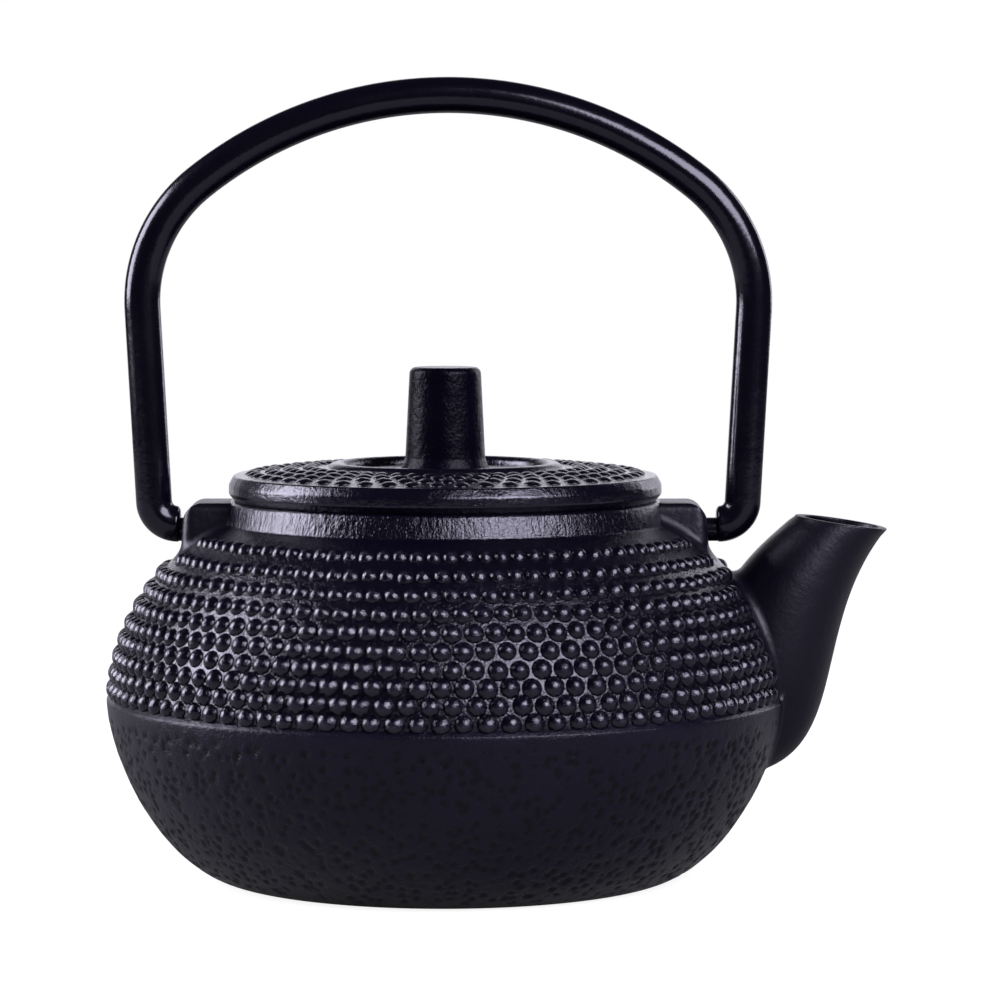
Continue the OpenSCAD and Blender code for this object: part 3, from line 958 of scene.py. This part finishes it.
collar_outline = rounded(
    (BASKET_R - SHEET, LEDGE_Z - COLLAR_H, 0),
    (BASKET_R, LEDGE_Z - COLLAR_H, 0.2),
    (BASKET_R, LEDGE_Z, 0.5),
    (FLANGE_R, LEDGE_Z, 0.2),
    (FLANGE_R, LEDGE_Z + SHEET, 0.2),
    (BASKET_R - SHEET, LEDGE_Z + SHEET, 0.7),
    (BASKET_R - SHEET, LEDGE_Z - COLLAR_H + 0.1, 0),
)
collar = turned("infuser_collar_ring", collar_outline, BASKET_SIDES)
fitted(smooth(collar), drawn_steel, "infuser", "steel", "infuser_collar")

base_outline = rounded(
    (BASKET_R - RING_W, BASKET_Z, 0),
    (BASKET_R, BASKET_Z, 0.7),
    (BASKET_R, BASKET_Z + RING_H, 0.2),
    (BASKET_R - SHEET, BASKET_Z + RING_H, 0.2),
    (BASKET_R - SHEET, BASKET_Z + SHEET, 0.1),
    (BASKET_R - RING_W, BASKET_Z + SHEET, 0.15),
    (BASKET_R - RING_W, BASKET_Z + 0.1, 0),
)
base_ring = turned("infuser_ring", base_outline, BASKET_SIDES)
fitted(smooth(base_ring), drawn_steel, "infuser", "steel", "infuser_base_ring")


def punched_tile(name, half_wide, half_high, thick, bow):
    """One square of sheet with an eight-sided hole, open at its edges. bow drops its sides back,
    so that tiles on a ring meet edge to edge."""
    rim = [(1, 0), (1, 1), (0, 1), (-1, 1), (-1, 0), (-1, -1), (0, -1), (1, -1)]
    points = []
    for depth in (0.0, -thick):
        shrink = 1 + depth / bow if bow else 1
        for x, z in rim:
            back = -bow + math.sqrt(bow**2 - (x * half_wide) ** 2) if bow else 0
            points.append((x * half_wide * shrink, -(back + depth), z * half_high))
        points += [(HOLE_R * math.cos(a), -depth, HOLE_R * math.sin(a)) for a in turns(8)]
    faces = []
    for k in range(8):
        n = (k + 1) % 8
        faces += [(k, n, 8 + n, 8 + k), (16 + n, 16 + k, 24 + k, 24 + n)]
        faces.append((8 + k, 8 + n, 24 + n, 24 + k))
    return new_piece(name, points, faces, closed=False)


def tiled(flow, given, points, turn):
    """Sets tiles on the points, turned, and welds their edges."""
    turn = flow.node("FunctionNodeEulerToRotation", {0: turn})
    tile = shape_of(flow, given["Tile"])
    tiles = flow.node("GeometryNodeInstanceOnPoints", {0: points, 2: tile, 5: turn})
    tiles = flow.node("GeometryNodeRealizeInstances", {0: tiles})
    return flow.node("GeometryNodeMergeByDistance", {0: tiles, "Distance": WELD})


def punched_wall(flow, given):
    """Sets punched tiles in staggered rows round a cylinder."""
    row, column = grid(flow, given["Count"])
    turn = (column + row.math("MODULO", 2) * 0.5) * math.tau / given["Count"]
    spot = flow.vector(
        turn.math("COSINE") * given["Radius"] * MM,
        turn.math("SINE") * given["Radius"] * MM,
        (given["Start"] + row * given["Step"]) * MM,
    )
    points = flow.node("GeometryNodePoints", {0: given["Rows"] * given["Count"], 1: spot})
    return tiled(flow, given, points, flow.vector(0.0, 0.0, turn + math.pi / 2))


tile_half = SCREEN_R * math.sin(math.pi / SCREEN_COUNT)
wall_tile = punched_tile("wall_tile", tile_half, SCREEN_STEP / 2, SHEET, SCREEN_R)
punched = grown(
    "punched_wall",
    "punched wall",
    {
        "Tile": wall_tile,
        "Rows": SCREEN_ROWS,
        "Count": SCREEN_COUNT,
        "Radius": SCREEN_R,
        "Start": SCREEN_START,
        "Step": SCREEN_STEP,
        "Finish": punched_steel,
    },
    punched_wall,
)
holes_low = SCREEN_START - SCREEN_STEP / 2
holes_high = SCREEN_START + (SCREEN_ROWS - 0.5) * SCREEN_STEP
bands = [
    turned(
        "band",
        [(SCREEN_R - SHEET, z0), (SCREEN_R, z0), (SCREEN_R, z1), (SCREEN_R - SHEET, z1)],
        SCREEN_COUNT * 2,
    )
    for z0, z1 in ((BASKET_Z + 1, holes_low + OVERLAP), (holes_high - OVERLAP, LEDGE_Z - 0.5))
]
screen = joined("infuser_wall", punched, *bands)
fitted(smooth(screen, 30), punched_steel, "infuser", "steel_mesh", "infuser_screen")


def punched_floor(flow, given):
    """Sets punched tiles in a square field and keeps those inside a radius."""
    row, column = grid(flow, given["Count"])
    middle = (given["Count"] - 1) * 0.5
    x, y = (column - middle) * given["Step"], (row - middle) * given["Step"]
    outside = (x * x + y * y).math("SQRT").math("GREATER_THAN", given["Radius"])
    spot = flow.vector(x * MM, y * MM, given["Height"] * MM)
    points = flow.node("GeometryNodePoints", {0: given["Count"] * given["Count"], 1: spot})
    points = flow.node("GeometryNodeDeleteGeometry", {0: points, 1: outside})
    return tiled(flow, given, points, (-math.pi / 2, 0.0, 0.0))


floor_tile = punched_tile("floor_tile", FLOOR_STEP / 2, FLOOR_STEP / 2, SHEET, 0)
disc = grown(
    "punched_disc",
    "punched floor",
    {
        "Tile": floor_tile,
        "Count": FLOOR_COUNT,
        "Step": FLOOR_STEP,
        "Radius": FLOOR_HOLES_R,
        "Height": BASKET_Z + 2 * SHEET,
        "Finish": punched_steel,
    },
    punched_floor,
)
edge_low, edge_high = (BASKET_Z + sheets * SHEET + OVERLAP for sheets in (1, 2))
edge_ring = turned(
    "edge_ring",
    [
        (FLOOR_EDGE_R, edge_low),
        (SCREEN_R, edge_low),
        (SCREEN_R, edge_high),
        (FLOOR_EDGE_R, edge_high),
    ],
    BASKET_SIDES,
)
basket_floor = joined("infuser_floor", disc, edge_ring)
fitted(smooth(basket_floor, 30), punched_steel, "infuser", "steel_mesh", "infuser_base_screen")
drop(wall_tile, floor_tile)

# --- Lid ---
# Cast like the pot, with four rows of smaller studs between its plain rim and a bead ring. A
# skirt under it drops into the mouth, and a small vent lets the steam out.

LID_R, LID_LOW, LID_TOP, DOME_Z = 35.7, 62.0, 66.2, 67.4
BEAD_R, BEAD_W, DISH_Z, UNDER_Z, SKIRT_R = 18.0, 1.45, 66.9, 64.0, 27.75
VENT_R, VENT_AT, SCREW_HOLE_R = 1.25, 11.5, 2.3
FLAT_RIM, SKIRT_W, SKIRT_H, BEAD_SUNK, LID_SIDES = 2.0, 2, 4, 0.6, 240
LID_NAIL_ROWS, LID_NAIL_COUNT, LID_NAIL_START, LID_NAIL_STEP = 4, 51, 31.7, -3.1
LID_NAIL_R, LID_NAIL_H = 1.4, 0.5

lid_iron = iron(
    "lid_iron",
    dark=(0.002, 0.0015, 0.0065),
    worn=(0.016, 0.014, 0.028),
    gloss=0.19,
    level=0.7,
    grain=0.08,
    size=0.5,
    lumps=0.06,
)


def spaced(points, pitch):
    """The same outline with points added, so that none is further than pitch from the next."""
    out = [points[0]]
    for a, b in zip(points, points[1:]):
        n = max(1, math.ceil(math.dist(a, b) / pitch))
        out += [tuple(np.add(a, np.subtract(b, a) * k / n)) for k in range(1, n + 1)]
    return out


def dome_z(r):
    """Height of the lid's top, between its bead ring and its flat rim."""
    return DOME_Z - (DOME_Z - LID_TOP) * ((r - BEAD_R) / (LID_R - FLAT_RIM - BEAD_R)) ** 2


dome_rs = np.linspace(LID_R - FLAT_RIM, BEAD_R + BEAD_W, 26)
bead = [
    (BEAD_R + BEAD_W * math.cos(a), DOME_Z - BEAD_SUNK + BEAD_W * math.sin(a))
    for a in np.radians(np.arange(25, 170, 11))
]
under = rounded(
    (0, UNDER_Z, 0),
    (SKIRT_R - SKIRT_W, UNDER_Z, 0.6),
    (SKIRT_R - SKIRT_W, LID_LOW - SKIRT_H, 0.4),
    (SKIRT_R, LID_LOW - SKIRT_H, 0.6),
    (SKIRT_R, LID_LOW, 0.3),
    (LID_R - 1.0, LID_LOW, 0.3),
    (LID_R, LID_LOW + 1.2, 0.7),
    (LID_R - 0.05, LID_LOW + 2.7, 1.1),
    (LID_R - 0.85, LID_TOP, 0.5),
    (LID_R - FLAT_RIM, LID_TOP, 0),
    steps=5,
)
lid_outline = (
    spaced(under, 3.0)
    + [(float(r), dome_z(r)) for r in dome_rs[1:]]
    + bead
    + [(r, DISH_Z) for r in (BEAD_R - BEAD_W, 12, 6, 0)]
)
lid = turned("lid_casting", lid_outline, LID_SIDES)
drills = [
    lofted("drill", [circle(r, z, hole_turns, y=y) for z in (UNDER_Z - 1, DISH_Z + 1)])
    for y, r in ((0, SCREW_HOLE_R), (VENT_AT, VENT_R))
]
without(lid, *drills)
drop(*drills)
fitted(smooth(lid, 32), lid_iron, "lid", "black_iron", "lid")

lid_nail_inputs = nail_inputs | {
    "Surface": lid,
    "Rows": LID_NAIL_ROWS,
    "Count": LID_NAIL_COUNT,
    "Start": LID_NAIL_START,
    "Step": LID_NAIL_STEP,
    "From Above": 1.0,
    "Reach": 80.0,
    "Width": LID_NAIL_R,
    "Height": LID_NAIL_H,
    "Stray": 0.1,
    "Seed": 8,
}
lid_nails = grown("lid_nails", "hobnails", lid_nail_inputs, hobnails)
fitted(lid_nails, nail_iron, "lid", "black_iron")
drop(nail)

# --- Knob, screw and washer ---
# The knob is a tapered iron post with a coarse casting skin and a small flare at its foot. A steel
# screw comes up through the lid into it, over a plain washer.

KNOB_TOP, KNOB_R, KNOB_LOW_R, KNOB_FOOT_R, KNOB_SIDES = 83.9, 5.85, 6.6, 7.25, 96
SCREW_R, SCREW_DEPTH, HEAD_R, HEAD_H, SLOT_HALF = 2.0, 8, 3.8, 2.2, 0.45
BORE_GAP, WASHER_R, WASHER_H, WASHER_GAP = 0.05, 4.6, 0.8, 0.15

knob_iron = iron(
    "knob_iron",
    dark=(0.0018, 0.0013, 0.0055),
    worn=(0.008, 0.007, 0.015),
    gloss=0.24,
    level=0.1,
    grain=0.11,
    size=0.5,
    lumps=0.06,
)
knob_outline = rounded(
    (0, DISH_Z, 0),
    (KNOB_FOOT_R, DISH_Z, 0),
    (KNOB_FOOT_R, DISH_Z + 0.3, 0.2),
    (KNOB_LOW_R, DISH_Z + 2.0, 1.4),
    (KNOB_R, KNOB_TOP, 1.1),
    (3.0, KNOB_TOP, 0),
    (0, KNOB_TOP, 0),
    steps=6,
)
knob = turned("knob", spaced(knob_outline, 0.7), KNOB_SIDES)
bore_ends = (DISH_Z - 1, DISH_Z + SCREW_DEPTH + BORE_GAP)
bore = lofted("bore", [circle(SCREW_R + BORE_GAP, z, hole_turns) for z in bore_ends])
without(knob, bore)
drop(bore)
fitted(smooth(knob), knob_iron, "lid", "black_iron", "lid_knob")

washer_z = UNDER_Z - WASHER_H
screw_outline = rounded(
    (0, washer_z - HEAD_H, 0),
    (HEAD_R, washer_z - HEAD_H, 1.3),
    (HEAD_R, washer_z, 0.1),
    (SCREW_R, washer_z, 0),
    (SCREW_R, DISH_Z + SCREW_DEPTH, 0.4),
    (0, DISH_Z + SCREW_DEPTH, 0),
    steps=6,
)
screw = turned("screw", screw_outline, 48)
slot_corners = ((-5, -SLOT_HALF), (5, -SLOT_HALF), (5, SLOT_HALF), (-5, SLOT_HALF))
slot_cut = lofted(
    "slot_cut",
    [[(x, y, z) for x, y in slot_corners] for z in (washer_z - 3, washer_z - 1.2)],
)
without(screw, slot_cut)
drop(slot_cut)
fitted(smooth(screw), drawn_steel, "lid", "steel", "knob_screw")

washer_outline = rounded(
    (SCREW_R + WASHER_GAP, washer_z, 0),
    (WASHER_R, washer_z, 0.15),
    (WASHER_R, UNDER_Z, 0.15),
    (SCREW_R + WASHER_GAP, UNDER_Z, 0.1),
    (SCREW_R + WASHER_GAP, washer_z + 0.05, 0),
)
washer = turned("washer", washer_outline, 64)
fitted(smooth(washer), drawn_steel, "lid", "steel", "knob_washer")

# --- Studio ---
# Pale paper under the pot, a softbox at the front right, a panel at the left, a narrow one at the
# right rear and a faint one behind. The room is dark in front and paler behind, but the camera
# itself sees white.

FLOOR_HALF, PAPER_TONE, PAPER_GLOW, PAPER_MIRRORED = 550, (0.3, 0.3, 0.3, 1), 0.88, 0.04
COOL, AIM_Z = (0.92, 0.9, 1.0), 0.05
ROOM_DARK, ROOM_PALE, PALE_FROM, PALE_TO = 0.03, 0.9, 0.75, 0.97
CAMERA_PLACE, CAMERA_TILT, LENS = (0.0082, -0.690, 0.111), math.radians(86), 152.36

corners = [(x * FLOOR_HALF, y * FLOOR_HALF, 0) for x, y in ((-1, -1), (1, -1), (1, 1), (-1, 1))]
floor = new_piece("floor", corners, [(0, 1, 2, 3)], closed=False)
paper = bpy.data.materials.new("paper")
paper.use_nodes = True
flow = Wire(paper.node_tree)
paper.node_tree.nodes.remove(paper.node_tree.nodes["Principled BSDF"])
rays = flow.node("ShaderNodeLightPath")
mirrored = rays.also("Is Glossy Ray").math("MAXIMUM", rays.also("Is Transmission Ray"))
lit = flow.node("ShaderNodeBsdfDiffuse", {0: PAPER_TONE})
glow = rays * PAPER_GLOW + mirrored * PAPER_MIRRORED
shine = flow.node("ShaderNodeEmission", {0: (1, 1, 1, 1), 1: glow})
both = flow.node("ShaderNodeAddShader", {0: lit, 1: shine})
paper.node_tree.links.new(both.socket, paper.node_tree.nodes["Material Output"].inputs[0])
floor.data.materials.append(paper)


def lamp(name, azimuth, elevation, distance, size, radiance):
    """An area lamp aimed at the pot. Azimuth 0 is the camera's side, 90 the spout's side."""
    az, el = math.radians(azimuth), math.radians(elevation)
    light = bpy.data.lights.new(name, "AREA")
    light.shape, light.size, light.size_y = "RECTANGLE", *size
    light.energy = radiance * math.pi * size[0] * size[1]
    light.color = COOL
    holder = bpy.data.objects.new(name, light)
    holder.location = (
        distance * math.cos(el) * math.sin(az),
        -distance * math.cos(el) * math.cos(az),
        AIM_Z + distance * math.sin(el),
    )
    holder.rotation_euler = (math.pi / 2 - el, 0, az)
    bpy.context.scene.collection.objects.link(holder)


lamp("key", azimuth=37, elevation=31, distance=1.1, size=(0.78, 0.58), radiance=9.5)
lamp("left_strip", azimuth=-96, elevation=20, distance=1.1, size=(0.6, 0.75), radiance=11.5)
lamp("right_strip", azimuth=138, elevation=15, distance=1.1, size=(0.3, 0.6), radiance=3.0)
lamp("back", azimuth=180, elevation=13, distance=1.2, size=(0.7, 0.4), radiance=0.6)

world = bpy.data.worlds.new("studio")
world.use_nodes = True
bpy.context.scene.world = world
flow = Wire(world.node_tree)
_, back, _ = flow.node("ShaderNodeTexCoord", out=0).apart()
level = back.ease(PALE_FROM, PALE_TO) * ROOM_PALE + ROOM_DARK
rays = flow.node("ShaderNodeLightPath")
strength = level * (1 - rays) + rays
ground = world.node_tree.nodes["Background"]
world.node_tree.links.new(rays.colours(COOL, (1, 1, 1)).socket, ground.inputs[0])
world.node_tree.links.new(strength.socket, ground.inputs[1])

camera = bpy.data.objects.new("camera", bpy.data.cameras.new("camera"))
camera.location = CAMERA_PLACE
camera.rotation_euler = (CAMERA_TILT, 0, 0)
camera.data.sensor_width, camera.data.lens = 36.0, LENS
camera.data.clip_start = 0.01
bpy.context.scene.collection.objects.link(camera)
bpy.context.scene.camera = camera
bpy.context.scene.view_settings.view_transform = "Standard"
